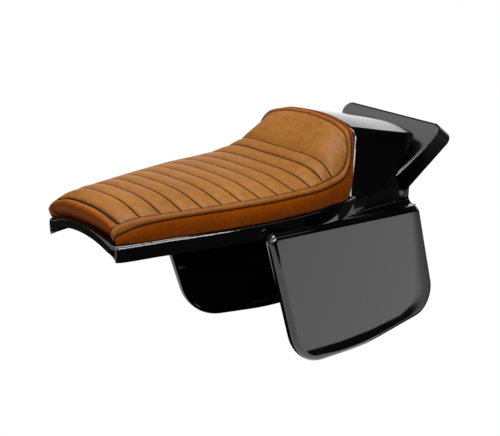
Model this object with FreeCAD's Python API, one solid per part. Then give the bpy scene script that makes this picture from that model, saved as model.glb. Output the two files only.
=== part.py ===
# Flat track seat: a moulded tail shell with two side number plates and a ribbed seat pad.
# Millimetres. X forward, Y to the rider's left, Z up. The origin is the centre of the four
# frame studs, on the flat faces of their bosses. "back" is always measured rearward from the
# front edge of the pan, and "up" from the top edge of the pan at its front corners.
import math
import os

import FreeCAD
import Part

# Pan: the long flat part under the pad
FRONT_X = 250.0
RAIL_UP = 10.0
WALL = 4.0
CROWN = 14.0
RAIL_R = 6.0
CORNER_R = 14.0
SKIRT = 26.0
SKIRT_DRAFT = 1.5
LIP = 12.5
LIP_CORNER_R = 13.0
PAN_HALF = [(0, 93), (60, 105), (130, 120), (200, 134), (280, 144), (340, 144), (395, 136),
            (430, 126), (460, 115), (510, 103), (570, 92), (640, 84)]
PAN_END = 455.0

# Hump behind the pad
HUMP_START = 418.0
HUMP_END = 640.0
HUMP_CREASE_HALF = [(418, 99), (480, 96), (560, 91), (640, 86)]
HUMP_CREASE_UP = [(418, 115), (480, 103), (560, 84), (640, 65)]
HUMP_CROWN = 11.0
HUMP_CREASE_R = [(418, 20), (470, 16), (520, 8), (640, 6)]
HUMP_KNEE = 10.0
HUMP_FRONT = [(440, -40), (443, 5), (458, 45), (468, 85), (473, 140)]
HUMP_RIM_R = 5.0
HUMP_BACK_FOOT = (577.0, 4.0)
HUMP_BACK_TOP = (622.0, 82.0)
SKIRT_END = 608.0
SKIRT_END_UP = -20.0

# Ducktail behind the hump
TAIL_FOOT = (570.0, 4.0)
TAIL_ANGLE = 44.0
TAIL_LENGTH = 116.0
TAIL_BURIED = 30.0
TAIL_DEPTH = 40.0
TAIL_LIP = 22.0
TAIL_HALF_LOW = 84.0
TAIL_HALF_HIGH = 119.0
TAIL_FLARE = 12.0
TAIL_CORNER_R = 16.0
TAIL_DISH = 7.0
TAIL_RIM_R = 4.5

# Number plates and the ledges that carry them
LEDGE_START = 236.0
LEDGE_END = SKIRT_END
LEDGE_UP_START = -14.0
LEDGE_UP_END = -48.0
COVE_START = 425.0
COVE_SHARE = 0.7
COVE_SINK = 0.3
PLATE_OUT = 135.0
PLATE_TOE = 7.5
PLATE_TUCK = 0.5
PLATE_MID = (450.0, -100.0)
PLATE_RIM_R = 9.0
PLATE_FLANGE = 20.0
PLATE_CORNERS = [(LEDGE_START, LEDGE_UP_START, 13), (310, -254, 86), (470, -265, 500), (666, -246, 45),
                 (LEDGE_END, LEDGE_UP_END, 16)]

# Pad
PAD_GAP = 4.0
PAD_START = 2.0
RIB_FIRST = 50.0
RIB_PITCH = 32.7
RIB_COUNT = 10
RIBS_ON_RISE = (374.0, 396.0)
FRONT_SEAM = 20.0
CHANNEL = 5.0
COVER = 2.0
BOARD = 9.0
HEM = 16.0
OUTER_SEAM_IN = 1.5
INNER_SEAM_IN = 8.5
SIDE_LEAN = 0.20
LEAN_FROM_UP = 34.0
BAND_BULGE = 3.0
CROWN_POWER = [(0, 2.6), (200, 3.0), (345, 3.0), (374, 5.0), (400, 7.5), (430, 7.0), (455, 3.4), (490, 2.6)]
PAD_CENTRE_UP = [(2, 24), (6, 31), (12, 38), (20, 43), (34, 49), (50, 53), (115, 54), (300, 53), (345, 55),
                 (374, 61), (396, 70), (410, 80), (425, 91), (440, 101), (455, 108), (470, 111), (490, 112)]
INNER_SEAM_UP = [(2, 13), (6, 18), (12, 23), (20, 28), (34, 32), (60, 35), (115, 36), (375, 37), (407, 40), (420, 46),
                 (432, 63), (446, 83), (460, 97), (490, 104)]
OUTER_SEAM_UP = [(2, 4), (6, 7), (12, 12), (24, 19), (50, 25), (100, 28), (375, 29), (415, 32), (430, 42), (442, 57),
                 (452, 71), (464, 87), (490, 96)]
PAD_END = 484.0

# Frame studs, bonded into bosses under the pan
FRAME_STUD_BACK = (110.0, 390.0)
FRAME_STUD_HALF = 50.0
FRAME_STUD_R = 4.0
FRAME_STUD_LENGTH = 32.0
FRAME_HEAD_R = 15.0
FRAME_HEAD = 3.0
FRAME_BOSS_R = 22.0
BOND_GAP = 0.2

# Pad screws with washers and lock nuts under the pan
PAD_SCREW_BACK = (70.0, 330.0)
PAD_SCREW_HALF = 40.0
PAD_SCREW_R = 3.0
PAD_HEAD_R = 11.0
PAD_HEAD = 2.5
PAD_BOSS_R = 13.0
PAD_BOSS_UP = 2.5
PAD_HEAD_UP = 21.0
HOLE_GAP = 0.3
THREAD_GAP = 0.05
WASHER_R = 9.0
WASHER = 1.6
NUT_FLATS = 10.0
NUT = 5.0
NUT_COLLAR_R = 4.4
NUT_COLLAR = 2.0
SCREW_END = 2.4
CHAMFER = 0.8

BELOW = -300.0


def at(back, side, up):
    return FreeCAD.Vector(FRONT_X - back, side, up + RAIL_UP)


def along(table, back):
    """Smooth value of a short table of (back, size) rows, with no overshoot between rows."""
    rows = [(float(b), float(v)) for b, v in table]
    if back <= rows[0][0]:
        return rows[0][1]
    if back >= rows[-1][0]:
        return rows[-1][1]
    slopes = [(v1 - v0) / (b1 - b0) for (b0, v0), (b1, v1) in zip(rows, rows[1:])]
    tangents = [slopes[0]]
    for before, after in zip(slopes, slopes[1:]):
        tangents.append(0.0 if before * after <= 0 else 2 * before * after / (before + after))
    tangents.append(slopes[-1])
    k = max(i for i in range(len(rows) - 1) if rows[i][0] <= back)
    (b0, v0), (b1, v1) = rows[k], rows[k + 1]
    h = b1 - b0
    t = (back - b0) / h
    return ((2 * t**3 - 3 * t**2 + 1) * v0 + (t**3 - 2 * t**2 + t) * h * tangents[k]
            + (3 * t**2 - 2 * t**3) * v1 + (t**3 - t**2) * h * tangents[k + 1])


def arc(a, b, c):
    return Part.Arc(a, b, c).toShape()


def line(a, b):
    return Part.LineSegment(a, b).toShape()


def bend(a, corner, b):
    """Curve from a to b that leaves and arrives pointing at the corner."""
    curve = Part.BezierCurve()
    curve.setPoles([a, corner, b])
    return curve.toShape()


def rounded(corners):
    """Start, middle and end of the arc at each (x, y, radius) corner of a closed outline."""
    flat = [FreeCAD.Vector(x, y, 0) for x, y, _ in corners]
    arcs = []
    for k, (_, _, r) in enumerate(corners):
        before = (flat[k - 1] - flat[k]).normalize()
        after = (flat[(k + 1) % len(flat)] - flat[k]).normalize()
        half_angle = before.getAngle(after) / 2
        reach = r / math.tan(half_angle)
        bisect = (before + after).normalize()
        arcs.append((flat[k] + before * reach, flat[k] + bisect * (r / math.sin(half_angle) - r),
                     flat[k] + after * reach))
    return arcs


def rounded_wire(corners, place):
    """Closed wire of arcs and lines; place turns each flat point into a point in space."""
    edges = []
    arcs = [[place(p.x, p.y) for p in trio] for trio in rounded(corners)]
    for (_, _, radius), trio, following in zip(corners, arcs, arcs[1:] + arcs[:1]):
        if radius:
            edges.append(arc(*trio))
        edges.append(line(trio[2], following[0]))
    return Part.Wire(edges)


def spline(points):
    curve = Part.BSplineCurve()
    curve.interpolate(points)
    return curve.toShape()


def side_profile(points, half):
    """Solid from an outline of (back, up) points, extruded across the whole width."""
    wire = Part.makePolygon([at(b, -half, u) for b, u in points + points[:1]])
    return Part.Face(wire).extrude(FreeCAD.Vector(0, 2 * half, 0))


def pan_half(back, inset):
    """Half width of the pan, with its front corners rounded in plan."""
    half = along(PAN_HALF, back) - inset
    radius = CORNER_R - inset
    into = back - inset
    if into < radius:
        half -= radius - math.sqrt(max(radius**2 - (radius - into)**2, 0.0))
    return half


def pan_section(back, inset, raised, low):
    half = pan_half(back, inset)
    up = raised - inset
    r = max(RAIL_R - inset, 1.5)
    r45 = r * (1 - math.sqrt(0.5))
    draft = SKIRT_DRAFT * (up - r - low) / SKIRT
    right_low, left_low = at(back, -(half - draft), low), at(back, half - draft, low)
    right_turn, left_turn = at(back, -half, up - r), at(back, half, up - r)
    right_top, left_top = at(back, -(half - r), up), at(back, half - r, up)
    return Part.Wire([
        line(right_low, left_low),
        line(left_low, left_turn),
        arc(left_turn, at(back, half - r45, up - r45), left_top),
        arc(left_top, at(back, 0, up + CROWN), right_top),
        arc(right_top, at(back, -(half - r45), up - r45), right_turn),
        line(right_turn, right_low),
    ])


def pan_stations(inset):
    corner = [inset + (CORNER_R - inset) * (1 - math.cos(math.radians(a))) for a in (0, 22, 45, 67, 90)]
    return corner + [60, 110, 165, 220, 280, 340, 400, PAN_END]


def pan_solid(inset, raised=0.0, low=-60.0):
    return Part.makeLoft([pan_section(b, inset, raised, low) for b in pan_stations(inset)], True)


def hump_section(back, inset, low):
    """Crowned top, softly turned creases and flat flanks that run down into the skirts."""
    half = along(HUMP_CREASE_HALF, back) - inset
    up = along(HUMP_CREASE_UP, back) - inset
    r = max(along(HUMP_CREASE_R, back) - inset, 2.0)
    knee, knee_up = along(PAN_HALF, back) - inset, -HUMP_KNEE
    foot = knee - SKIRT_DRAFT * (knee_up - low) / SKIRT
    top_half = half - r
    top_radius = (top_half**2 + HUMP_CROWN**2) / (2 * HUMP_CROWN)
    corner_up = up - r * top_half / (top_radius - HUMP_CROWN)
    share = r / math.hypot(knee - half, corner_up - knee_up)
    turn, turn_up = half + (knee - half) * share, corner_up + (knee_up - corner_up) * share

    def side(sign):
        return [at(back, sign * y, u) for y, u in
                ((top_half, up), (half, corner_up), (turn, turn_up), (knee, knee_up), (foot, low))]

    lt, lc, ls, lk, lf = side(1)
    rt, rc, rs, rk, rf = side(-1)
    return Part.Wire([
        line(rf, lf), line(lf, lk), line(lk, ls), bend(ls, lc, lt),
        arc(lt, at(back, 0, up + HUMP_CROWN), rt),
        bend(rt, rc, rs), line(rs, rk), line(rk, rf),
    ])


def hump_front_face(shift, half=260.0):
    """Solid standing in front of the hump's curved front face."""
    curve = spline([at(b + shift, -half, u) for b, u in HUMP_FRONT])
    first, last = HUMP_FRONT[0], HUMP_FRONT[-1]
    low, high = at(first[0] + shift, -half, first[1]), at(last[0] + shift, -half, last[1])
    front_low, front_high = at(-40, -half, first[1]), at(-40, -half, last[1])
    wire = Part.Wire([curve, line(high, front_high), line(front_high, front_low), line(front_low, low)])
    return Part.Face(wire).extrude(FreeCAD.Vector(0, 2 * half, 0))


def hump_back_cut(shift):
    """Everything behind the hump's overhanging back; the hollow is left open under its foot."""
    (b0, u0), (b1, u1) = HUMP_BACK_FOOT, HUMP_BACK_TOP
    reach = 3.0
    top = (b1 + (b1 - b0) * reach - shift, u1 + (u1 - u0) * reach)
    under = SKIRT_END + (60.0 if shift else 0.0)
    return side_profile([(b0 - shift, u0), top, (900, top[1]), (900, BELOW), (under, BELOW),
                         (under, SKIRT_END_UP)], 260)


def hump_solid(inset, low):
    stations = (HUMP_START, 450, 480, 520, 560, 600, HUMP_END)
    body = Part.makeLoft([hump_section(b, inset, low) for b in stations], True)
    return body.cut(hump_front_face(inset)).cut(hump_back_cut(inset))


def tail_point(run, side, rise):
    """Point in the ducktail's own sloping frame."""
    c, s = math.cos(math.radians(TAIL_ANGLE)), math.sin(math.radians(TAIL_ANGLE))
    return at(TAIL_FOOT[0] + run * c - rise * s, side, TAIL_FOOT[1] + run * s + rise * c)


def tail_outline(flare, top_drop, end_drop, inset):
    """Rounded outline of the ducktail; the two drops set how far below its top each end lies."""
    low, high = TAIL_HALF_LOW - inset, TAIL_HALF_HIGH + flare - inset
    end = TAIL_LENGTH - inset
    r = TAIL_CORNER_R - inset

    def place(run, side):
        return tail_point(run, side, -top_drop + (top_drop - end_drop) * (run + TAIL_BURIED) / (end + TAIL_BURIED))

    corners = [(-TAIL_BURIED, low, 0), (end, high, r), (end, -high, r), (-TAIL_BURIED, -low, 0)]
    return rounded_wire(corners, place)


def tail_solid(inset, deeper):
    top = tail_outline(0.0, inset - TAIL_DISH, inset - TAIL_DISH, inset)
    foot = tail_outline(TAIL_FLARE, TAIL_DEPTH + deeper, TAIL_LIP + deeper, inset)
    body = Part.makeLoft([top, foot], True, True)
    span = TAIL_LENGTH * 1.35
    radius = (span**2 / 4 + TAIL_DISH**2) / (2 * TAIL_DISH)
    dish = Part.makeCylinder(radius + inset, 520, tail_point(TAIL_LENGTH * 0.42, -260, radius),
                             FreeCAD.Vector(0, 1, 0))
    return body.cut(dish)


def ledge_up(back):
    slope = (LEDGE_UP_END - LEDGE_UP_START) / (LEDGE_END - LEDGE_START)
    return LEDGE_UP_START + slope * (back - LEDGE_START)


def plate_side(back):
    """Y of the plate's outer face where it meets the ledge."""
    toe = math.tan(math.radians(PLATE_TOE)) * (back - PLATE_MID[0])
    tuck = math.tan(math.radians(PLATE_TUCK)) * (ledge_up(back) - PLATE_MID[1])
    return PLATE_OUT - toe + tuck


def ledge(sign):
    """Block whose top is the ledge; the part below is trimmed with the skirts."""
    first, inside = LEDGE_START + 1, PLATE_RIM_R + 2
    corner = LEDGE_START + PLATE_CORNERS[0][2] + 2
    rows = [(first, 60.0), (first, along(PAN_HALF, first)), (corner, plate_side(corner) - inside),
            (LEDGE_END, plate_side(LEDGE_END) - inside), (LEDGE_END, 60.0)]
    wire = Part.makePolygon([at(b, sign * y, ledge_up(b)) for b, y in rows + rows[:1]])
    return Part.Face(wire).extrude(FreeCAD.Vector(0, 0, -WALL - 2))


def skirt_side(back, up):
    """Y of the skirt's outer face at a height below the hump's knee."""
    return along(PAN_HALF, back) - SKIRT_DRAFT * (-HUMP_KNEE - up) / SKIRT


def cove(sign):
    """Hollow fillet that runs the body's side into the top of the ledge."""
    def section(back):
        up = ledge_up(back)
        side = skirt_side(back, up)
        reach = COVE_SHARE * (plate_side(back) - PLATE_RIM_R - side)
        high = up + reach
        points = [(side - COVE_SINK, up - COVE_SINK), (side + reach, up - COVE_SINK),
                  (side + reach, up - WALL / 2), (side - WALL / 2, up - WALL / 2),
                  (skirt_side(back, high) - WALL / 2, high), (skirt_side(back, high) - COVE_SINK, high)]
        corner, tip, tip_low, root, top_in, top = [at(back, sign * y, u) for y, u in points]
        return Part.Wire([bend(top, corner, tip), line(tip, tip_low), line(tip_low, root), line(root, top_in),
                          line(top_in, top)])

    stations = [COVE_START + (LEDGE_END - COVE_START) * k / 5 for k in range(6)]
    return Part.makeLoft([section(b) for b in stations], True)


def skirt_trim():
    """Everything below the lower edges of the skirts and ledges."""
    rows = [(-40, -SKIRT), (LEDGE_START, -SKIRT), (LEDGE_END, ledge_up(LEDGE_END) - WALL),
            (700, ledge_up(LEDGE_END) - WALL), (700, BELOW), (-40, BELOW)]
    return side_profile(rows, 260)


def plate_layer(near, far):
    """Tilted slab between two depths behind the plate's outer face."""
    slab = Part.makeBox(900, far - near, 900, FreeCAD.Vector(-450, -far, -450))
    slab.rotate(FreeCAD.Vector(0, 0, 0), FreeCAD.Vector(1, 0, 0), -PLATE_TUCK)
    slab.rotate(FreeCAD.Vector(0, 0, 0), FreeCAD.Vector(0, 0, 1), PLATE_TOE)
    slab.translate(at(PLATE_MID[0], PLATE_OUT, PLATE_MID[1]))
    return slab


def plate_block(inset, near, far, rim):
    outline = rounded_wire(PLATE_CORNERS, lambda b, u: at(b, 0.0, u))
    if inset:
        outline = outline.makeOffset2D(-inset)
    prism = Part.Face(outline).extrude(FreeCAD.Vector(0, 320, 0))
    block = prism.common(plate_layer(near, far))
    outer = max(block.Faces, key=lambda f: f.CenterOfMass.y)
    return block.makeFillet(rim, outer.Edges)


def plate():
    shell = plate_block(0.0, 0.0, PLATE_FLANGE, PLATE_RIM_R)
    return shell.cut(plate_block(WALL, WALL, PLATE_FLANGE + 60, PLATE_RIM_R - WALL))


def mirrored(shape):
    return shape.mirror(FreeCAD.Vector(0, 0, 0), FreeCAD.Vector(0, 1, 0))


def screw_places(backs, half):
    return [(back, side) for back in backs for side in (-half, half)]


def post(back, side, radius, low, high):
    """Upright cylinder between two heights."""
    return Part.makeCylinder(radius, high - low, at(back, side, low))


def lip_opening():
    """Cuts the front wall away below its arched lip."""
    half = PAN_HALF[0][1] - WALL
    top = -LIP
    r = LIP_CORNER_R
    cut = r * (1 - math.sqrt(0.5))
    left, right = at(-20, half, top - r), at(-20, -half, top - r)
    wire = Part.Wire([
        line(at(-20, -half, -80), at(-20, half, -80)),
        line(at(-20, half, -80), left),
        arc(left, at(-20, half - cut, top - cut), at(-20, half - r, top)),
        arc(at(-20, half - r, top), at(-20, 0, top + CROWN), at(-20, r - half, top)),
        arc(at(-20, r - half, top), at(-20, cut - half, top - cut), right),
        line(right, at(-20, -half, -80)),
    ])
    return Part.Face(wire).extrude(at(CORNER_R + 4, 0, 0) - at(-20, 0, 0))


def round_hump_rim(hump):
    """Rounds the rim between the hump's front face and its sides and top."""
    hump = hump.Solids[0]
    above = RAIL_UP + CROWN
    front = max((f for f in hump.Faces if f.CenterOfMass.z > above), key=lambda f: f.CenterOfMass.x)
    return hump.makeFillet(HUMP_RIM_R, [e for e in front.Edges if e.CenterOfMass.z > above])


def round_tail_rim(tail):
    """Rounds the edges of the ducktail's dished top."""
    tail = tail.Solids[0]
    dish = max((f for f in tail.Faces if f.Surface.TypeId == "Part::GeomCylinder"), key=lambda f: f.Area)
    behind = at(TAIL_FOOT[0], 0, 0).x
    return tail.makeFillet(TAIL_RIM_R, [e for e in dish.Edges if e.CenterOfMass.x < behind])


def bosses(pan):
    """Flat-bottomed bosses under the pan for the frame studs and the pad screws."""
    frame = [post(b, y, FRAME_BOSS_R, -RAIL_UP, CROWN) for b, y in screw_places(FRAME_STUD_BACK, FRAME_STUD_HALF)]
    pad = [post(b, y, PAD_BOSS_R, PAD_BOSS_UP, CROWN) for b, y in screw_places(PAD_SCREW_BACK, PAD_SCREW_HALF)]
    return [boss.common(pan) for boss in frame + pad]


def build_shell():
    pan, tail = pan_solid(0.0), round_tail_rim(tail_solid(0.0, 0.0))
    hump = round_hump_rim(hump_solid(0.0, -60.0))
    body = pan.fuse([hump, tail, ledge(1), ledge(-1), cove(1), cove(-1)])
    hollow = pan_solid(WALL, low=-90.0).fuse([hump_solid(WALL, -90.0), tail_solid(WALL, 2.0)])
    body = body.cut(hollow).cut(skirt_trim()).cut(lip_opening())
    body = body.fuse([plate(), mirrored(plate())] + bosses(pan)).removeSplitter()
    pockets = [post(b, y, FRAME_HEAD_R + BOND_GAP, -RAIL_UP - 1, FRAME_HEAD - RAIL_UP)
               for b, y in screw_places(FRAME_STUD_BACK, FRAME_STUD_HALF)]
    holes = [post(b, y, PAD_SCREW_R + HOLE_GAP, -30, 30) for b, y in screw_places(PAD_SCREW_BACK, PAD_SCREW_HALF)]
    return body.cut(pockets + holes)


def pad_half(back, inset):
    half = along(PAN_HALF, back) - PAD_GAP - inset
    radius = CORNER_R - PAD_GAP - min(inset, 4.0)
    into = back - PAD_START - inset
    if into < radius:
        half -= radius - math.sqrt(max(radius**2 - (radius - into)**2, 0.0))
    return half


def pad_section(back, inset, drop):
    """Cross-section of the pad, from below the pan up the side bands to the crowned top."""
    half = pad_half(back, inset)
    seam_o, seam_i = along(OUTER_SEAM_UP, back) - inset, along(INNER_SEAM_UP, back) - inset
    side_o = half - OUTER_SEAM_IN - SIDE_LEAN * max(seam_o - LEAN_FROM_UP, 0.0)
    side_i = half - INNER_SEAM_IN - SIDE_LEAN * max(seam_i - LEAN_FROM_UP, 0.0)
    centre = along(PAD_CENTRE_UP, back) - inset - drop
    power = along(CROWN_POWER, back)
    low = -12.0

    def edges(sign):
        bottom, outer = at(back, sign * half, low), at(back, sign * side_o, seam_o)
        inner = at(back, sign * side_i, seam_i)
        band = at(back, sign * (0.5 * (half + side_o) + BAND_BULGE), 0.5 * (low + seam_o))
        border = at(back, sign * (0.5 * (side_o + side_i) + BAND_BULGE), 0.5 * (seam_o + seam_i) + BAND_BULGE)
        return bottom, band, outer, border, inner

    def crown(share):
        y = side_i * share
        rise = (centre - seam_i) * (1 - abs(share)**power)
        return at(back, y, seam_i + rise)

    lb, lband, lo, lborder, li = edges(1)
    rb, rband, ro, rborder, ri = edges(-1)
    top = [crown(share) for share in (0.94, 0.82, 0.6, 0.3, 0.0, -0.3, -0.6, -0.82, -0.94)]
    return Part.Wire([
        line(rb, lb), arc(lb, lband, lo), arc(lo, lborder, li), spline([li] + top + [ri]),
        arc(ri, rborder, ro), arc(ro, rband, rb),
    ])


def rib_lines():
    return [FRONT_SEAM] + [RIB_FIRST + RIB_PITCH * k for k in range(RIB_COUNT)] + list(RIBS_ON_RISE)


def pad_outside():
    """Quilted outside of the pad: one pillow per rib, pinched at every sewn line."""
    pillow = ((0.0, 1.0), (0.1, 0.42), (0.3, 0.08), (0.5, 0.0), (0.7, 0.08), (0.9, 0.42), (1.0, 1.0))
    lines = rib_lines()
    runs = [[(PAD_START, 0.0), (PAD_START + 3, 0.0), (FRONT_SEAM - 3, 0.25), (FRONT_SEAM, 1.0)]]
    for start, end in zip(lines, lines[1:]):
        runs.append([(start + (end - start) * share, pinch) for share, pinch in pillow])
    stop = lines[-1]
    runs.append([(stop, 1.0), (stop + 3, 0.42), (stop + 10, 0.08), (stop + 22, 0.0), (stop + 36, 0.0),
                 (stop + 50, 0.0), (stop + 68, 0.0), (PAD_END, 0.0)])
    bodies = [Part.makeLoft([pad_section(b, 0.0, CHANNEL * pinch) for b, pinch in run], True) for run in runs]
    return bodies[0].fuse(bodies[1:])


def pad_inside(inset, drop):
    """Smooth inside of the pad, for the foam and the board."""
    start = PAD_START + inset
    stations = [start, start + 3, start + 9, start + 18, 60, 120, 200, 280, 340, 375, 400, 420, 435, 450, 466,
                PAD_END]
    return Part.makeLoft([pad_section(b, inset, drop) for b in stations], True)


def build_pad():
    deck, under_board = pan_solid(0.0), pan_solid(0.0, raised=COVER)
    over_board = pan_solid(0.0, raised=COVER + BOARD)
    outside = pad_outside().common(hump_front_face(0.0)).cut(deck)
    inside = pad_inside(COVER, CHANNEL).common(hump_front_face(-COVER)).cut(under_board)
    opening = pad_inside(HEM, CHANNEL).common(hump_front_face(-HEM)).common(pan_solid(0.0, raised=COVER + 1))
    cover = outside.cut(inside.fuse(opening))
    places = screw_places(PAD_SCREW_BACK, PAD_SCREW_HALF)
    well_r = PAD_HEAD_R + HOLE_GAP
    plugs = [post(b, y, well_r, PAD_HEAD_UP, PAD_HEAD_UP + 6) for b, y in places]
    wells = [post(b, y, well_r, PAD_HEAD_UP - PAD_HEAD, PAD_HEAD_UP + 12) for b, y in places]
    holes = [post(b, y, PAD_SCREW_R + HOLE_GAP, 0, 40) for b, y in places]
    foam = inside.cut(over_board).fuse(plugs).removeSplitter()
    board = inside.common(over_board).cut(wells + holes)
    return cover, foam, board


def frame_stud(back, side):
    head = post(back, side, FRAME_HEAD_R, -RAIL_UP, FRAME_HEAD - RAIL_UP)
    shank = post(back, side, FRAME_STUD_R, -RAIL_UP - FRAME_STUD_LENGTH, -RAIL_UP)
    tip = min(shank.Edges, key=lambda e: e.CenterOfMass.z)
    return head.fuse(shank.makeChamfer(CHAMFER, [tip]))


def nut_foot():
    return PAD_BOSS_UP - WASHER - NUT - NUT_COLLAR


def pad_screw(back, side):
    head = post(back, side, PAD_HEAD_R, PAD_HEAD_UP - PAD_HEAD, PAD_HEAD_UP)
    shank = post(back, side, PAD_SCREW_R, nut_foot() - SCREW_END, PAD_HEAD_UP - PAD_HEAD)
    tip = min(shank.Edges, key=lambda e: e.CenterOfMass.z)
    return head.fuse(shank.makeChamfer(CHAMFER, [tip]))


def pad_washer(back, side):
    low = PAD_BOSS_UP - WASHER
    return post(back, side, WASHER_R, low, PAD_BOSS_UP).cut(post(back, side, PAD_SCREW_R + HOLE_GAP, low - 1, low + 9))


def pad_nut(back, side):
    """Lock nut: a hexagon with a round collar below it."""
    top, low = PAD_BOSS_UP - WASHER, PAD_BOSS_UP - WASHER - NUT
    reach = NUT_FLATS / math.sqrt(3)
    points = [at(back, side, low) + FreeCAD.Vector(reach * math.cos(a), reach * math.sin(a), 0)
              for a in (math.radians(60 * k) for k in range(7))]
    body = Part.Face(Part.makePolygon(points)).extrude(FreeCAD.Vector(0, 0, NUT))
    body = body.fuse(post(back, side, NUT_COLLAR_R, nut_foot(), low))
    return body.cut(post(back, side, PAD_SCREW_R + THREAD_GAP, nut_foot() - 1, top + 1))


def write(name, shape):
    shape.exportStep(f"parts/{name}.step")


os.makedirs("parts", exist_ok=True)
write("tail_shell", build_shell())
for piece, solid in zip(("pad_cover", "pad_foam", "pad_board"), build_pad()):
    write(piece, solid)
frame_places = screw_places(FRAME_STUD_BACK, FRAME_STUD_HALF)
pad_places = screw_places(PAD_SCREW_BACK, PAD_SCREW_HALF)
write("frame_studs", Part.makeCompound([frame_stud(*place) for place in frame_places]))
write("pad_screws", Part.makeCompound([pad_screw(*place) for place in pad_places]))
write("pad_washers", Part.makeCompound([pad_washer(*place) for place in pad_places]))
write("pad_nuts", Part.makeCompound([pad_nut(*place) for place in pad_places]))
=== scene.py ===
# Looks of the flat track seat: sewn leather pad, gloss black shell, plated fasteners and a white studio.
import math

import bmesh
import bpy
import numpy as np
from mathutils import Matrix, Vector, noise


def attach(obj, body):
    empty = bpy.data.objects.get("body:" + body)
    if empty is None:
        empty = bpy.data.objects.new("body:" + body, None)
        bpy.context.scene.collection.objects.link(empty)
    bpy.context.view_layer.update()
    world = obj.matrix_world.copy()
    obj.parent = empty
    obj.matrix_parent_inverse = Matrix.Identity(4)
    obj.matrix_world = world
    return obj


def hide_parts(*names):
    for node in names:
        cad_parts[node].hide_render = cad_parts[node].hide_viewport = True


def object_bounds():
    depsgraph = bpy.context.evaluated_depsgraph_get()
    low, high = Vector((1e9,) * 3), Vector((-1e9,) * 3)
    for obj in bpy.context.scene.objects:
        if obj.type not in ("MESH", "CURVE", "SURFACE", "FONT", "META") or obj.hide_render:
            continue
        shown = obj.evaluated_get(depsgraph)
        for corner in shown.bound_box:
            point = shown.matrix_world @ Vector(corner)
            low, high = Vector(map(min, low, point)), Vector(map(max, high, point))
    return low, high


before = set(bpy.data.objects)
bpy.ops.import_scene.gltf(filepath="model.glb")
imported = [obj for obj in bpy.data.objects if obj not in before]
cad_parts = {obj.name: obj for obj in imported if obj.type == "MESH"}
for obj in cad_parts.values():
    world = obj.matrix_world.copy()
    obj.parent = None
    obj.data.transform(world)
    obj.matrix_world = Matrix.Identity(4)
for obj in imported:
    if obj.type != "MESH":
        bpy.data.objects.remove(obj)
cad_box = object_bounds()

# Sizes of the pad and of the pan under it, in millimetres. "back" is measured rearward from the pan's
# front edge and "up" from the pan's top edge at its front corners. A station is one row of points across
# the pad; between the nose and the bum stop it equals "back". A table holds (place, size) rows.
FRONT_X = 250.0
RAIL_UP = 10.0
PAN_HALF = [(0, 93), (60, 105), (130, 120), (200, 134), (280, 144), (340, 144), (395, 136),
            (430, 126), (460, 115)]
PAD_GAP = 4.0
LOWER_EDGE_UP = -1.0
SIDE_LEAN = 0.2
LEAN_FROM_UP = 34.0
NOSE_END = 34.0
NOSE_BACK = [(0, 12), (3, 7), (6, 3.8), (10, 2.2), (14, 5), (20, 15), (26, 24), (NOSE_END, NOSE_END)]
NOSE_CORNER = [(0, 8), (4, 3.5), (8, 0.5), (12, -0.5), (16, 0.5), (20, 0.5), (NOSE_END, 0)]
NOSE_BOW = [(0, 6), (4, 3.5), (8, 1.5), (14, 1), (20, 2.5), (NOSE_END, 0)]
NOSE_LOW_BACK = [(0, 18), (6, 15.5), (12, 15), (20, 20), (NOSE_END, NOSE_END)]
NOSE_LOW_CORNER = [(0, 8), (12, 4), (NOSE_END, 0)]
OUTER_SEAM_IN = [(250, 1.5), (396, -1)]
INNER_SEAM_IN = [(250, 8.5), (396, 5.5)]
CENTRE_UP = [(0, 14), (3, 20), (6, 27), (10, 35), (14, 41), (20, 46), (26, 49), (34, 51.5), (50, 54),
             (115, 54.5), (300, 53), (345, 55), (374, 61), (396, 70), (410, 80), (425, 91.5), (440, 102.5),
             (450, 109), (456, 112)]
INNER_UP = [(0, 3), (3, 9), (6, 15), (10, 21), (14, 26), (20, 30.5), (34, 34.5), (60, 36), (115, 36),
            (345, 37), (375, 39), (396, 41)]
OUTER_UP = [(0, -0.5), (3, 3), (6, 6), (10, 10), (16, 14.5), (24, 19), (50, 25), (100, 28), (345, 29),
            (375, 30), (396, 32)]
CROWN_POWER = [(0, 2.6), (200, 3.0), (320, 3.2), (374, 5.5), (400, 6.5), (430, 6.0), (448, 3.4), (456, 2.2)]
BOW_POWER = 3

# The rise of the bum stop: station, then (back, side, up) of the inner seam, the outer seam and the
# edge against the hump. The last row lies past the middle, so that the curves run level through it.
RISE_START = 396.0
TOP_STATION = 560.0
RISE = [
    (RISE_START, (RISE_START, 125.1, 41), (RISE_START, 133, 32), (RISE_START, 132, LOWER_EDGE_UP)),
    (412, (409, 124.5, 44), (411, 131.5, 35.5), (413, 129.5, LOWER_EDGE_UP)),
    (428, (422, 121.5, 50.5), (426, 127.5, 43), (431, 124, LOWER_EDGE_UP)),
    (442, (432.5, 117, 62), (437.5, 122, 57), (443.5, 117.5, 8)),
    (456, (440.5, 110.5, 76), (446, 114.5, 73), (452, 110, 32)),
    (470, (444.5, 103.5, 89.5), (451.5, 107.5, 89.5), (459.5, 102.5, 60)),
    (484, (448.5, 93.5, 98), (456.5, 98.5, 101), (465.5, 96.5, 84)),
    (498, (452, 77.5, 103.5), (461, 82, 107), (469.2, 86, 98)),
    (520, (455, 46, 109.5), (464, 48.5, 113.5), (471.5, 53, 108)),
    (TOP_STATION, (456, 0, 112), (465.5, 0, 116), (472, 0, 111)),
    (600, (455, -46, 109.5), (464, -48.5, 113.5), (471.5, -53, 108)),
]

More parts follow.
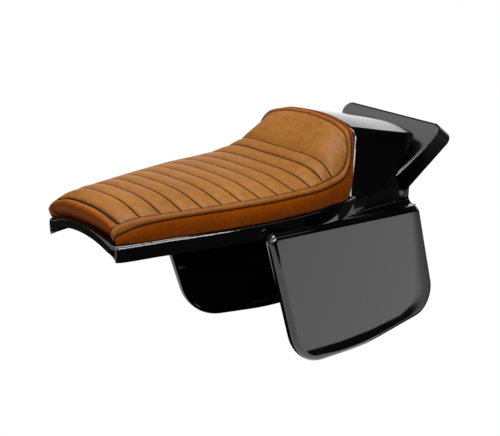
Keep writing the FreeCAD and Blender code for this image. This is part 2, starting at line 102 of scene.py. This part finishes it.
# Sewing, in millimetres: the channels between the ribs, the grooves at the seams and the thread.
# A stitch has a pitch, a length and a radius; its form is (share of the length, share of the radius, rise).
FRONT_SEAM = 20.0
FIRST_RIB_LINE = 50.0
RIB_PITCH = 32.7
RIBS = 10
STOP_LINE = 374.0
RIB_LINES = [FRONT_SEAM] + [FIRST_RIB_LINE + RIB_PITCH * k for k in range(RIBS)] + [STOP_LINE, RISE_START]
CHANNEL = 4.2
CHANNEL_POWER = 3
NOSE_ROLL = 4.0
STOP_ROLL = 7.0
GROOVE = 1.0
GROOVE_HALF = 1.3
SEAM_HOLD_POWER = 16
BORDER_BULGE = 2.4
BAND_BULGE = 3.2
LUMP = 0.5
LUMP_SCALE = 0.028
LUMP_SLICE = 3.0
RIB_STITCH = (3.6, 3.2, 0.75)
SEAM_STITCH = (5.2, 3.4, 0.8)
STITCH_FORM = ((0.0, 0.35, -0.4), (0.15, 0.9, 0.6), (0.5, 1.0, 0.9), (0.85, 0.9, 0.6), (1.0, 0.35, -0.4))
STITCH_START = 0.3
STITCH_SIDES = 6
RIB_THREAD_REACH = 0.985
RIB_THREAD_POINTS = 120
SEAM_THREAD_STEP = 2.0

# Rows and columns of the pad's mesh, in millimetres; a run of rows is (start, end, step)
ROWS_AT_LINE = (-3.2, -2.2, -1.4, -0.7, 0.0, 0.7, 1.4, 2.2, 3.2)
ROW_RUNS = ((0.0, 17.0, 1.0), (24.0, RISE_START, 3.0), (RISE_START, TOP_STATION + 0.1, 2.0))
LEAST_ROW_GAP = 0.3
TOP_COLUMNS = 72
BORDER_COLUMNS = 8
BAND_COLUMNS = 14
HALF_STEP = 0.5
SHARE_STEP = 0.01
WELD = 0.05

# Colours and finishes. The painted shade that darkens the leather along a seam has a half width in
# millimetres.
# Tones and roughnesses are (place, value) stops along a noise.
CREASE_SHADE_HALF = 1.6
SEAM_SHADE_STRENGTH = 0.75
# Painted shade: the border, the nose and the sides take a darker tint, standing in for the shade on faces
# turned away from the overhead lamp
BORDER_SHADE = 0.35
NOSE_SHADE = 2.5
TAN_TONES = ((0.25, (0.315, 0.118, 0.017)), (0.55, (0.38, 0.148, 0.026)), (0.8, (0.445, 0.177, 0.035)))
FLECKS = ((0.3, (0.78, 0.78, 0.78)), (0.62, (1.06, 1.06, 1.06)))
# Painted shade: the darker tint multiplied into the sides and nose
SIDE_SHADE_TINT = (0.88, 0.45, 0.03, 1.0)
# Painted shade: the near black that the leather takes along the sewn creases
CREASE_SHADE_TONE = (0.02, 0.006, 0.001, 1.0)
LEATHER_ROUGH = ((0.3, (0.40, 0.40, 0.40)), (0.7, (0.56, 0.56, 0.56)))
TOP_GLEAM = 0.2
SIDE_GLEAM = 0.05
THREAD_TONES = ((0.3, (0.004, 0.001, 0.0003)), (0.7, (0.012, 0.004, 0.001)))
LACQUER_TONES = ((0.3, (0.0012, 0.0012, 0.0014)), (0.7, (0.0022, 0.0022, 0.0025)))
LACQUER_ROUGH = ((0.3, (0.05, 0.05, 0.05)), (0.75, (0.11, 0.11, 0.11)))
ZINC_TONES = ((0.3, (0.45, 0.45, 0.44)), (0.7, (0.66, 0.66, 0.63)))
ZINC_ROUGH = ((0.3, (0.272, 0.272, 0.272)), (0.7, (0.368, 0.368, 0.368)))
FLOOR_GREY = (0.5, 0.5, 0.5, 1.0)
CLOTH_BLACK = (0.002, 0.002, 0.002, 1.0)

# The lacquer of the shell gets duller over this stretch, from the end of the hump to the ducktail, in metres
DULL_FROM_X = -0.335
DULL_TO_X = -0.375
HUMP_DULLNESS = 0.03
TAIL_DULLNESS = 0.3


def rectangle(start, end, low, high):
    return [(start, low), (end, low), (end, high), (start, high)]


# Camera and studio, in metres and degrees
LENS = 108.0
SENSOR_WIDTH = 36.0
CAMERA_AT = (1.397, 1.817, 0.701)
CAMERA_TURN = 39.1
CAMERA_DIP = 17.4
FLOOR_Z = cad_box[0][2] - 0.001
FLOOR_HALF = 9.0
FILL_COLOUR = (0.95, 0.97, 1.0, 1.0)
FILL_STRENGTH = 0.14
AIM = (-0.1, 0.0, 0.0)

# Black walls and cards, upright along the seat's length: y, then the outline in x and z. The walls stand
# behind the cloths on the floor. The cards darken the left side of the hump, the ledge over the left plate
# and the foot of the ducktail.
CLOTH_FAR = 2.2
WALL_FRONT_X = 1.0
WALL_TOP = 1.4
UPRIGHT_FLAGS = {
    "flag_left": (CLOTH_FAR, rectangle(-5.0, WALL_FRONT_X, FLOOR_Z, WALL_TOP)),
    "flag_right": (-CLOTH_FAR, rectangle(-0.9, WALL_FRONT_X, FLOOR_Z, WALL_TOP)),
    "card_left": (0.25, rectangle(-0.75, -0.28, -0.06, 0.35)),
    "card_low": (0.175, [(-0.1, -0.033), (-0.2, -0.046), (-0.3, -0.061), (-0.37, -0.073), (-0.45, -0.082),
                         (-0.45, 0.0), (-0.1, 0.0)]),
}

# Black roof and cloths, level: z, then the outline in x and y. The cloths lie on the floor: round
# its white middle, under the seat and, for the dark line on the left plate's rim, in a curve below it.
CLOTH_Z = FLOOR_Z + 0.002
LEVEL_FLAGS = {
    "card_roof": (0.8, rectangle(-2.5, -0.15, -1.2, 1.0)),
    "cloth_left": (CLOTH_Z, [(-5.0, 0.56), (-0.6, 0.56), (0.2, 0.42), (WALL_FRONT_X, 0.42),
                             (WALL_FRONT_X, CLOTH_FAR), (-5.0, CLOTH_FAR)]),
    "cloth_rear": (CLOTH_Z, [(-5.0, 0.1), (-0.46, 0.1), (-0.46, 0.14), (-1.12, 0.57), (-5.0, 0.57)]),
    "cloth_right": (CLOTH_Z, rectangle(-0.9, WALL_FRONT_X, -0.75, -CLOTH_FAR)),
    "cloth_front": (CLOTH_Z, rectangle(0.5, 1.6, -0.75, 0.3)),
    "cloth_under": (CLOTH_Z, [(-0.75, -0.16), (0.2, -0.16), (0.2, 0.08), (-0.02, 0.128), (-0.75, 0.128)]),
    "cloth_rim": (CLOTH_Z, [(-0.125, 0.2), (-0.154, 0.191), (-0.21, 0.173), (-0.285, 0.16), (-0.375, 0.154),
                            (-0.475, 0.17), (-0.5, 0.16), (-0.44, 0.145), (-0.348, 0.133), (-0.254, 0.136),
                            (-0.183, 0.15), (-0.135, 0.172)]),
}

# Softboxes, upright: y, the outline in x and z, and the strength. One draws the thin lines on the left
# rounded edges, the other the sheen on the ducktail.
SOFTBOXES = {
    "edge_light": (1.8, rectangle(-0.5, 1.3, 0.42, 1.2), 9.0),
    "tail_light": (-1.6, rectangle(-0.1, 1.1, 1.0, 2.2), 1.8),
}

# Lamps: place, width and height, power
LAMPS = {
    "overhead": ((0.0, 0.25, 2.3), (2.0, 1.6), 61.0),
    "front_left": ((2.0, 1.2, 0.9), (0.5, 1.4), 4.5),
}


def at(back, side, up):
    """Point in the shared frame, in metres."""
    return Vector(((FRONT_X - back) / 1000.0, side / 1000.0, (up + RAIL_UP) / 1000.0))


def along(table, x):
    """Smooth value of a short table of (position, size) rows, with no overshoot between rows."""
    if x <= table[0][0]:
        return float(table[0][1])
    if x >= table[-1][0]:
        return float(table[-1][1])
    slopes = [(v1 - v0) / (b1 - b0) for (b0, v0), (b1, v1) in zip(table, table[1:])]
    tangents = [slopes[0]]
    for before, after in zip(slopes, slopes[1:]):
        tangents.append(0.0 if before * after <= 0 else 2 * before * after / (before + after))
    tangents.append(slopes[-1])
    k = max(i for i in range(len(table) - 1) if table[i][0] <= x)
    (b0, v0), (b1, v1) = table[k], table[k + 1]
    h = b1 - b0
    t = (x - b0) / h
    return ((2 * t**3 - 3 * t**2 + 1) * v0 + (t**3 - 2 * t**2 + t) * h * tangents[k]
            + (3 * t**2 - 2 * t**3) * v1 + (t**3 - t**2) * h * tangents[k + 1])


def bell(gap, half):
    """1 at no distance, falling smoothly to nothing past a few times the half width."""
    return math.exp(-(gap / half)**2)


def spread(count):
    """Shares from 1 to -1 across the pad's top, closer together at its two seams."""
    return [math.sin(math.pi / 2 * (1 - 2 * k / count)) for k in range(count + 1)]


def strip_shares(count):
    """Shares of a strip's width from its lower edge up, closer together at its two seams."""
    return [0.5 - 0.5 * math.cos(math.pi * k / count) for k in range(count, 0, -1)]


def rise_rail(station, rail):
    """(back, side, up) of one rail on the rise of the bum stop."""
    rows = [(row[0], row[1 + rail]) for row in RISE]
    return tuple(along([(s, point[axis]) for s, point in rows], station) for axis in range(3))


def rails(station):
    """(back, side, up) of the inner seam, the outer seam and the lower edge at one station."""
    if station >= RISE_START:
        return [rise_rail(station, rail) for rail in range(3)]
    back = low_back = station
    if station < NOSE_END:
        back = along(NOSE_BACK, station) + along(NOSE_BOW, station)
        low_back = along(NOSE_LOW_BACK, station)
    half = along(PAN_HALF, back) - PAD_GAP - along(NOSE_CORNER, station)
    inner_up = along(INNER_UP, station)
    inner = half - along(INNER_SEAM_IN, station) - SIDE_LEAN * max(inner_up - LEAN_FROM_UP, 0.0)
    outer = half - along(OUTER_SEAM_IN, station)
    low = along(PAN_HALF, low_back) - PAD_GAP - along(NOSE_LOW_CORNER, station)
    return [(back, inner, inner_up), (back, outer, along(OUTER_UP, station)), (low_back, low, LOWER_EDGE_UP)]


def top_place(station):
    """Place of a station in the tables of the pad's top: on the rise it is the inner seam's own "back"."""
    return station if station < RISE_START else rails(station)[0][0]


def rib_gap(place):
    """Distance to the nearest sewn line between the ribs."""
    return min(abs(place - line) for line in RIB_LINES)


def channel_drop(place):
    """How far the cover is drawn down towards the sewn lines, with a pillow between each two of them."""
    if place < RIB_LINES[0]:
        return CHANNEL * bell(rib_gap(place), NOSE_ROLL)
    if place > RIB_LINES[-1]:
        return CHANNEL * bell(rib_gap(place), STOP_ROLL)
    start, end = next((a, b) for a, b in zip(RIB_LINES, RIB_LINES[1:]) if place <= b)
    return CHANNEL * abs(2 * (place - start) / (end - start) - 1)**CHANNEL_POWER


def top_point(station, share):
    """Point on the top of the pad; share runs from -1 to 1 between the two inner seams."""
    back, side, up = rails(station)[0]
    place = top_place(station)
    rise = (along(CENTRE_UP, place) - up) * (1 - abs(share)**along(CROWN_POWER, place))
    hold = 1 - abs(share)**SEAM_HOLD_POWER
    groove = GROOVE * bell(rib_gap(place), GROOVE_HALF)
    seam = GROOVE * bell((1 - abs(share)) * side, GROOVE_HALF)
    lump = LUMP * noise.noise(Vector((back * LUMP_SCALE, side * share * LUMP_SCALE, LUMP_SLICE)))
    bow = along(NOSE_BOW, station) * (1 - abs(share)**BOW_POWER)
    drop = channel_drop(place) * hold + max(groove * hold, seam)
    return at(back - bow, side * share, up + rise - drop + lump * hold)


def top_normal(station, share):
    a = top_point(station + HALF_STEP, share) - top_point(station - HALF_STEP, share)
    b = top_point(station, min(share + SHARE_STEP, 1.0)) - top_point(station, max(share - SHARE_STEP, -1.0))
    normal = a.cross(b).normalized()
    return normal if normal.z > 0 else -normal


def strips(station):
    """Upper edge, lower edge and outward direction of the border and of the band at one station."""
    ahead, behind = rails(station + HALF_STEP), rails(max(station - HALF_STEP, 0.0))
    inner, outer, low = [at(*rail) for rail in rails(station)]
    run = at(*ahead[1]) - at(*behind[1])
    border_out = (outer - inner).cross(run).normalized()
    band_out = (low - outer).cross(run).normalized()
    return (inner, outer, border_out), (outer, low, band_out)


def strip_points(strip, columns, bulge):
    """Points across a strip from its lower edge up, rolled outward, with a thread groove at both edges."""
    upper, lower, outward = strip
    width = (lower - upper).length * 1000.0
    points = []
    for share in strip_shares(columns):
        groove = GROOVE * bell(min(share, 1 - share) * width, GROOVE_HALF)
        roll = bulge * 4 * share * (1 - share) - groove
        points.append(upper.lerp(lower, share) + outward * (roll / 1000.0))
    return points


def pad_row(station):
    """One row of points across the pad, from its left lower edge over the top to the right one."""
    border, band = strips(station)
    left = strip_points(band, BAND_COLUMNS, BAND_BULGE) + strip_points(border, BORDER_COLUMNS, BORDER_BULGE)
    top = [top_point(station, share) for share in spread(TOP_COLUMNS)]
    right = [Vector((p.x, -p.y, p.z)) for p in reversed(left)]
    return left + top + right


def strip_crease_shades(strip, columns, sewn_below):
    """Painted shade at each point of a strip, by how close it lies to a seam. All have one above, and the
    border has one below.
    """
    upper, lower, _ = strip
    width = (lower - upper).length * 1000.0
    creases = []
    for share in strip_shares(columns):
        by_seam = sewn_below or share < 0.5
        creases.append(SEAM_SHADE_STRENGTH * bell(min(share, 1 - share) * width, CREASE_SHADE_HALF) if by_seam else 0.0)
    return creases


def crease_shade_row(station):
    """Painted shade at each point of a pad row, by how close it lies to a sewn line, from 0 to 1, in the
    order of pad_row.
    """
    border, band = strips(station)
    left = strip_crease_shades(band, BAND_COLUMNS, False) + strip_crease_shades(border, BORDER_COLUMNS, True)
    rib = bell(rib_gap(top_place(station)), CREASE_SHADE_HALF)
    side = rails(station)[0][1]
    seams = [SEAM_SHADE_STRENGTH * bell((1 - abs(share)) * side, CREASE_SHADE_HALF) for share in spread(TOP_COLUMNS)]
    return left + [max(rib, seam) for seam in seams] + left[::-1]


def side_shade_row(station):
    """How much painted side shade, a darker tint, each point of a pad row has, in the order of pad_row."""
    left = [1.0] * BAND_COLUMNS + [BORDER_SHADE] * BORDER_COLUMNS
    nose = min(max(NOSE_SHADE * (1 - station / FRONT_SEAM), 0.0), 1.0)
    return left + [nose] * (TOP_COLUMNS + 1) + left[::-1]


def stations():
    """Rows of the pad's mesh, closer together at the nose and beside each sewn line."""
    rows = [line + step for line in RIB_LINES for step in ROWS_AT_LINE]
    for start, end, step in ROW_RUNS:
        rows += list(np.arange(start, end, step))
    rows.sort()
    return [row for k, row in enumerate(rows) if k == 0 or row - rows[k - 1] > LEAST_ROW_GAP]


def new_object(name, data):
    piece = bpy.data.objects.new(name, data)
    bpy.context.scene.collection.objects.link(piece)
    return piece


def smooth_object(name, work):
    """Object with smooth faces from a finished bmesh."""
    for face in work.faces:
        face.smooth = True
    mesh = bpy.data.meshes.new(name)
    work.to_mesh(mesh)
    work.free()
    return new_object(name, mesh)


def build_pad():
    work = bmesh.new()
    # Point values that paint shade into the leather: near black along the sewn lines and a darker tint on
    # the sides and nose
    crease_shade = work.verts.layers.float.new("crease_shade")
    painted_side_shade = work.verts.layers.float.new("painted_side_shade")
    grid = []
    for station in stations():
        grid.append([work.verts.new(p) for p in pad_row(station)])
        for point, shade_by_seam, side_shade in zip(grid[-1], crease_shade_row(station), side_shade_row(station)):
            point[crease_shade] = shade_by_seam
            point[painted_side_shade] = side_shade
    for a, b in zip(grid, grid[1:]):
        for k in range(len(a) - 1):
            work.faces.new((a[k], b[k], b[k + 1], a[k + 1]))
    bmesh.ops.remove_doubles(work, verts=work.verts, dist=WELD / 1000.0)
    bmesh.ops.recalc_face_normals(work, faces=work.faces)
    return smooth_object("seat_pad", work)


def add_stitch(work, start, end, normal, radius):
    """Short rounded thread between two holes, standing a little above the leather."""
    run = (end - start).normalized()
    side = run.cross(normal).normalized()
    lift = side.cross(run).normalized()
    turns = [math.pi * 2 * k / STITCH_SIDES for k in range(STITCH_SIDES)]
    rings = []
    for share, size, rise in STITCH_FORM:
        middle = start.lerp(end, share) + lift * (radius * rise)
        spokes = [(side * math.cos(turn) + lift * math.sin(turn)) * radius * size for turn in turns]
        rings.append([work.verts.new(middle + spoke) for spoke in spokes])
    for a, b in zip(rings, rings[1:]):
        for k in range(STITCH_SIDES):
            after = (k + 1) % STITCH_SIDES
            work.faces.new((a[k], a[after], b[after], b[k]))
    work.faces.new(list(reversed(rings[0])))
    work.faces.new(rings[-1])


def sew(work, path, stitch):
    """Evenly spaced stitches along a path of (point, normal) pairs."""
    pitch, length, radius = [size / 1000.0 for size in stitch]
    points = [p for p, _ in path]
    reach = [0.0]
    for a, b in zip(points, points[1:]):
        reach.append(reach[-1] + (b - a).length)

    def spot(distance):
        k = max(i for i in range(len(reach) - 1) if reach[i] <= distance)
        share = (distance - reach[k]) / max(reach[k + 1] - reach[k], 1e-9)
        return points[k].lerp(points[k + 1], min(share, 1.0)), path[k][1]

    for k in range(int(reach[-1] / pitch)):
        begin = k * pitch + STITCH_START / 1000.0
        start, normal = spot(begin)
        end, _ = spot(min(begin + length, reach[-1]))
        add_stitch(work, start, end, normal, radius)


def rib_path(line):
    """Path of the thread across the pad's top along one sewn line."""
    shares = [share * RIB_THREAD_REACH for share in spread(RIB_THREAD_POINTS)]
    return [(top_point(line, share), top_normal(line, share)) for share in shares]


def seam_path():
    """Path along the seam between the border and the band; the inner seam is a fold that shows no thread."""
    path = []
    for station in np.arange(1.0, TOP_STATION + 0.1, SEAM_THREAD_STEP):
        border, band = strips(station)
        outward = (border[2] + band[2]).normalized()
        path.append((band[0] - outward * (GROOVE / 1000.0), outward))
    return path


def mirrored(path):
    """The same path on the right side."""
    flip = Vector((1, -1, 1))
    return [(p * flip, n * flip) for p, n in path]


def build_stitches():
    work = bmesh.new()
    for line in RIB_LINES:
        sew(work, rib_path(line), RIB_STITCH)
    seam = seam_path()
    for path in (seam, mirrored(seam)):
        sew(work, path, SEAM_STITCH)
    return smooth_object("seat_stitches", work)


def wire(tree, node, **inputs):
    """Link each named input of a node to a socket, or set it to a plain value."""
    for name, source in inputs.items():
        target = node.inputs[name.replace("_", " ")]
        if isinstance(source, bpy.types.NodeSocket):
            tree.links.new(source, target)
        else:
            target.default_value = source


def add(tree, kind, **inputs):
    """New node with the named inputs linked or set."""
    made = tree.nodes.new(kind)
    wire(tree, made, **inputs)
    return made


def material(name):
    """New material, with its node tree and its main shader."""
    made = bpy.data.materials.new(name)
    made.use_nodes = True
    return made, made.node_tree, made.node_tree.nodes["Principled BSDF"]


def object_place(tree):
    return tree.nodes.new("ShaderNodeTexCoord").outputs["Object"]


def speckle(tree, place, scale, detail, roughness=0.5):
    """Value of a noise over the object."""
    made = add(tree, "ShaderNodeTexNoise", Vector=place, Scale=scale, Detail=detail, Roughness=roughness)
    return made.outputs["Fac"]


def ramp(tree, value, stops):
    """Colour that a value picks from (place, colour) stops."""
    made = add(tree, "ShaderNodeValToRGB", Fac=value)
    elements = made.color_ramp.elements
    while len(elements) < len(stops):
        elements.new(0.5)
    for element, (place, colour) in zip(elements, stops):
        element.position = place
        element.color = (*colour, 1.0)
    return made.outputs["Color"]


def blend(tree, kind, factor, base, over):
    """One colour blended over another."""
    made = tree.nodes.new("ShaderNodeMix")
    made.data_type = "RGBA"
    made.blend_type = kind
    wire(tree, made, Factor=factor, A=base, B=over)
    return made.outputs["Result"]


def vertex_value(tree, name):
    """Value that the mesh holds at its points."""
    made = tree.nodes.new("ShaderNodeAttribute")
    made.attribute_name = name
    return made.outputs["Fac"]


def larger(tree, a, b):
    """The larger of two values."""
    made = tree.nodes.new("ShaderNodeMath")
    made.operation = "MAXIMUM"
    tree.links.new(a, made.inputs[0])
    tree.links.new(b, made.inputs[1])
    return made.outputs[0]


def relief(tree, height, strength, distance, **below):
    """Bumped normal, on top of another one where that is given."""
    made = add(tree, "ShaderNodeBump", Height=height, Strength=strength, Distance=distance, **below)
    return made.outputs["Normal"]


def leather_colour(tree, place, mottle, side):
    """Mottled tan with painted shade: a darker tint on the sides and nose, and near black in the sewn
    creases.
    """
    patches = speckle(tree, place, scale=9.0, detail=4.0, roughness=0.55)
    tan = blend(tree, "MULTIPLY", 1.0, ramp(tree, patches, TAN_TONES), ramp(tree, mottle, FLECKS))
    # Painted shade: a darker tint on the sides and nose
    side_shaded = blend(tree, "MULTIPLY", side, tan, SIDE_SHADE_TINT)
    return blend(tree, "MIX", vertex_value(tree, "crease_shade"), side_shaded, CREASE_SHADE_TONE)


def leather_grain(tree, place):
    """Fine pebbles over shallow wrinkles."""
    creases = speckle(tree, place, scale=260.0, detail=6.0, roughness=0.6)
    wrinkles = relief(tree, creases, strength=0.10, distance=0.0015)
    pebbles = add(tree, "ShaderNodeTexVoronoi", Vector=place, Scale=620.0, Randomness=1.0)
    pebbles.feature = "SMOOTH_F1"
    return relief(tree, pebbles.outputs["Distance"], strength=0.16, distance=0.0006, Normal=wrinkles)


def leather():
    made, tree, shader = material("tan_leather")
    place = object_place(tree)
    mottle = speckle(tree, place, scale=85.0, detail=5.0, roughness=0.65)
    # Painted side shade; it also lowers the specular level on the sides
    side = vertex_value(tree, "painted_side_shade")
    gleam = add(tree, "ShaderNodeMapRange", Value=side, To_Min=TOP_GLEAM, To_Max=SIDE_GLEAM)
    wire(tree, shader, Base_Color=leather_colour(tree, place, mottle, side),
         Roughness=ramp(tree, mottle, LEATHER_ROUGH), Normal=leather_grain(tree, place),
         Specular_IOR_Level=gleam.outputs[0])
    return made


def thread():
    made, tree, shader = material("dark_thread")
    fibres = speckle(tree, object_place(tree), scale=900.0, detail=3.0)
    wire(tree, shader, Base_Color=ramp(tree, fibres, THREAD_TONES), Roughness=0.9, Specular_IOR_Level=0.0,
         Normal=relief(tree, fibres, strength=0.3, distance=0.0002))
    return made


def gloss_shell():
    made, tree, shader = material("gloss_shell")
    place = object_place(tree)
    haze = speckle(tree, place, scale=14.0, detail=5.0, roughness=0.6)
    peel = speckle(tree, place, scale=160.0, detail=2.0)
    length_x = add(tree, "ShaderNodeSeparateXYZ", Vector=place).outputs["X"]
    dull = add(tree, "ShaderNodeMapRange", Value=length_x, From_Min=DULL_FROM_X, From_Max=DULL_TO_X,
               To_Min=HUMP_DULLNESS, To_Max=TAIL_DULLNESS).outputs[0]
    wire(tree, shader, Base_Color=ramp(tree, haze, LACQUER_TONES), Coat_Roughness=dull, Coat_Weight=0.6,
         Roughness=larger(tree, ramp(tree, haze, LACQUER_ROUGH), dull),
         Normal=relief(tree, peel, strength=0.02, distance=0.0005))
    return made


def zinc_steel():
    made, tree, shader = material("zinc_steel")
    grain = speckle(tree, object_place(tree), scale=300.0, detail=5.0, roughness=0.6)
    wire(tree, shader, Base_Color=ramp(tree, grain, ZINC_TONES), Roughness=ramp(tree, grain, ZINC_ROUGH),
         Normal=relief(tree, grain, strength=0.1, distance=0.0006), Metallic=1.0)
    return made


def dress(piece, made):
    piece.data.materials.clear()
    piece.data.materials.append(made)


def dress_nodes():
    dress(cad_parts["tail_shell"], gloss_shell())
    zinc = zinc_steel()
    for node in ("frame_studs", "pad_screws", "pad_washers", "pad_nuts"):
        dress(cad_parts[node], zinc)


def show_white(tree, kind, plain, output):
    """White where the camera, a reflection or glass looks, the plain surface for all other light."""
    path = tree.nodes.new("ShaderNodeLightPath").outputs
    looked_at = larger(tree, path["Is Camera Ray"], path["Is Glossy Ray"])
    seen = larger(tree, looked_at, path["Is Transmission Ray"])
    white = add(tree, kind, Color=(1, 1, 1, 1), Strength=1.0)
    mix = tree.nodes.new("ShaderNodeMixShader")
    for target, source in zip(mix.inputs, (seen, plain.outputs[0], white.outputs[0])):
        tree.links.new(source, target)
    tree.links.new(mix.outputs[0], output.inputs["Surface"])


def build_world():
    world = bpy.data.worlds.new("studio")
    bpy.context.scene.world = world
    world.use_nodes = True
    tree = world.node_tree
    fill = tree.nodes["Background"]
    wire(tree, fill, Color=FILL_COLOUR, Strength=FILL_STRENGTH)
    show_white(tree, "ShaderNodeBackground", fill, tree.nodes["World Output"])


def panel(name, corners):
    """Flat piece of the studio, which is no part of the seat."""
    mesh = bpy.data.meshes.new(name)
    mesh.from_pydata([Vector(c) for c in corners], [], [list(range(len(corners)))])
    piece = new_object(name, mesh)
    return piece


def upright_panel(name, side, outline):
    return panel(name, [(x, side, z) for x, z in outline])


def level_panel(name, height, outline):
    return panel(name, [(x, y, height) for x, y in outline])


def show_in_reflections_only(piece):
    piece.visible_camera = False
    piece.visible_diffuse = False
    piece.visible_shadow = False
    piece.visible_transmission = False


def build_floor():
    floor = level_panel("floor", FLOOR_Z, rectangle(-FLOOR_HALF, FLOOR_HALF, -FLOOR_HALF, FLOOR_HALF))
    made, tree, shader = material("floor_white")
    wire(tree, shader, Base_Color=FLOOR_GREY, Roughness=0.9)
    show_white(tree, "ShaderNodeEmission", shader, tree.nodes["Material Output"])
    dress(floor, made)


def build_flags():
    """Black studio cloths, cards and walls, seen only in reflections."""
    made, tree, shader = material("black_cloth")
    wire(tree, shader, Base_Color=CLOTH_BLACK, Roughness=1.0)
    flags = [upright_panel(name, side, outline) for name, (side, outline) in UPRIGHT_FLAGS.items()]
    flags += [level_panel(name, height, outline) for name, (height, outline) in LEVEL_FLAGS.items()]
    for piece in flags:
        dress(piece, made)
        show_in_reflections_only(piece)


def build_softboxes():
    """Bright panels, seen only in the reflections of the gloss shell; they light nothing else."""
    receivers = bpy.data.collections.new("gloss_receivers")
    receivers.objects.link(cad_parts["tail_shell"])
    for name, (side, outline, strength) in SOFTBOXES.items():
        piece = upright_panel(name, side, outline)
        made, tree, _ = material(name)
        glow = add(tree, "ShaderNodeEmission", Strength=strength)
        tree.links.new(glow.outputs[0], tree.nodes["Material Output"].inputs["Surface"])
        dress(piece, made)
        piece.light_linking.receiver_collection = receivers
        show_in_reflections_only(piece)


def build_lamps():
    for name, (place, size, power) in LAMPS.items():
        data = bpy.data.lights.new(name, "AREA")
        data.shape = "RECTANGLE"
        data.size, data.size_y = size
        data.energy = power
        piece = new_object(name, data)
        piece.location = place
        piece.rotation_euler = (Vector(AIM) - Vector(place)).to_track_quat("-Z", "Y").to_euler()


def build_camera():
    data = bpy.data.cameras.new("photo")
    data.lens = LENS
    data.sensor_fit = "HORIZONTAL"
    data.sensor_width = SENSOR_WIDTH
    camera = new_object("photo", data)
    turn, dip = math.radians(CAMERA_TURN), math.radians(CAMERA_DIP)
    look = Vector((-math.sin(turn) * math.cos(dip), -math.cos(turn) * math.cos(dip), -math.sin(dip)))
    camera.location = CAMERA_AT
    camera.rotation_euler = look.to_track_quat("-Z", "Y").to_euler()
    bpy.context.scene.camera = camera


def build_seat():
    pad = build_pad()
    dress(pad, leather())
    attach(pad, "root")
    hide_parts("pad_cover", "pad_foam", "pad_board")
    stitches = build_stitches()
    dress(stitches, thread())
    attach(stitches, "root")


build_camera()
build_world()
build_floor()
build_flags()
build_softboxes()
build_lamps()
dress_nodes()
build_seat()
bpy.context.scene.view_settings.view_transform = "Standard"
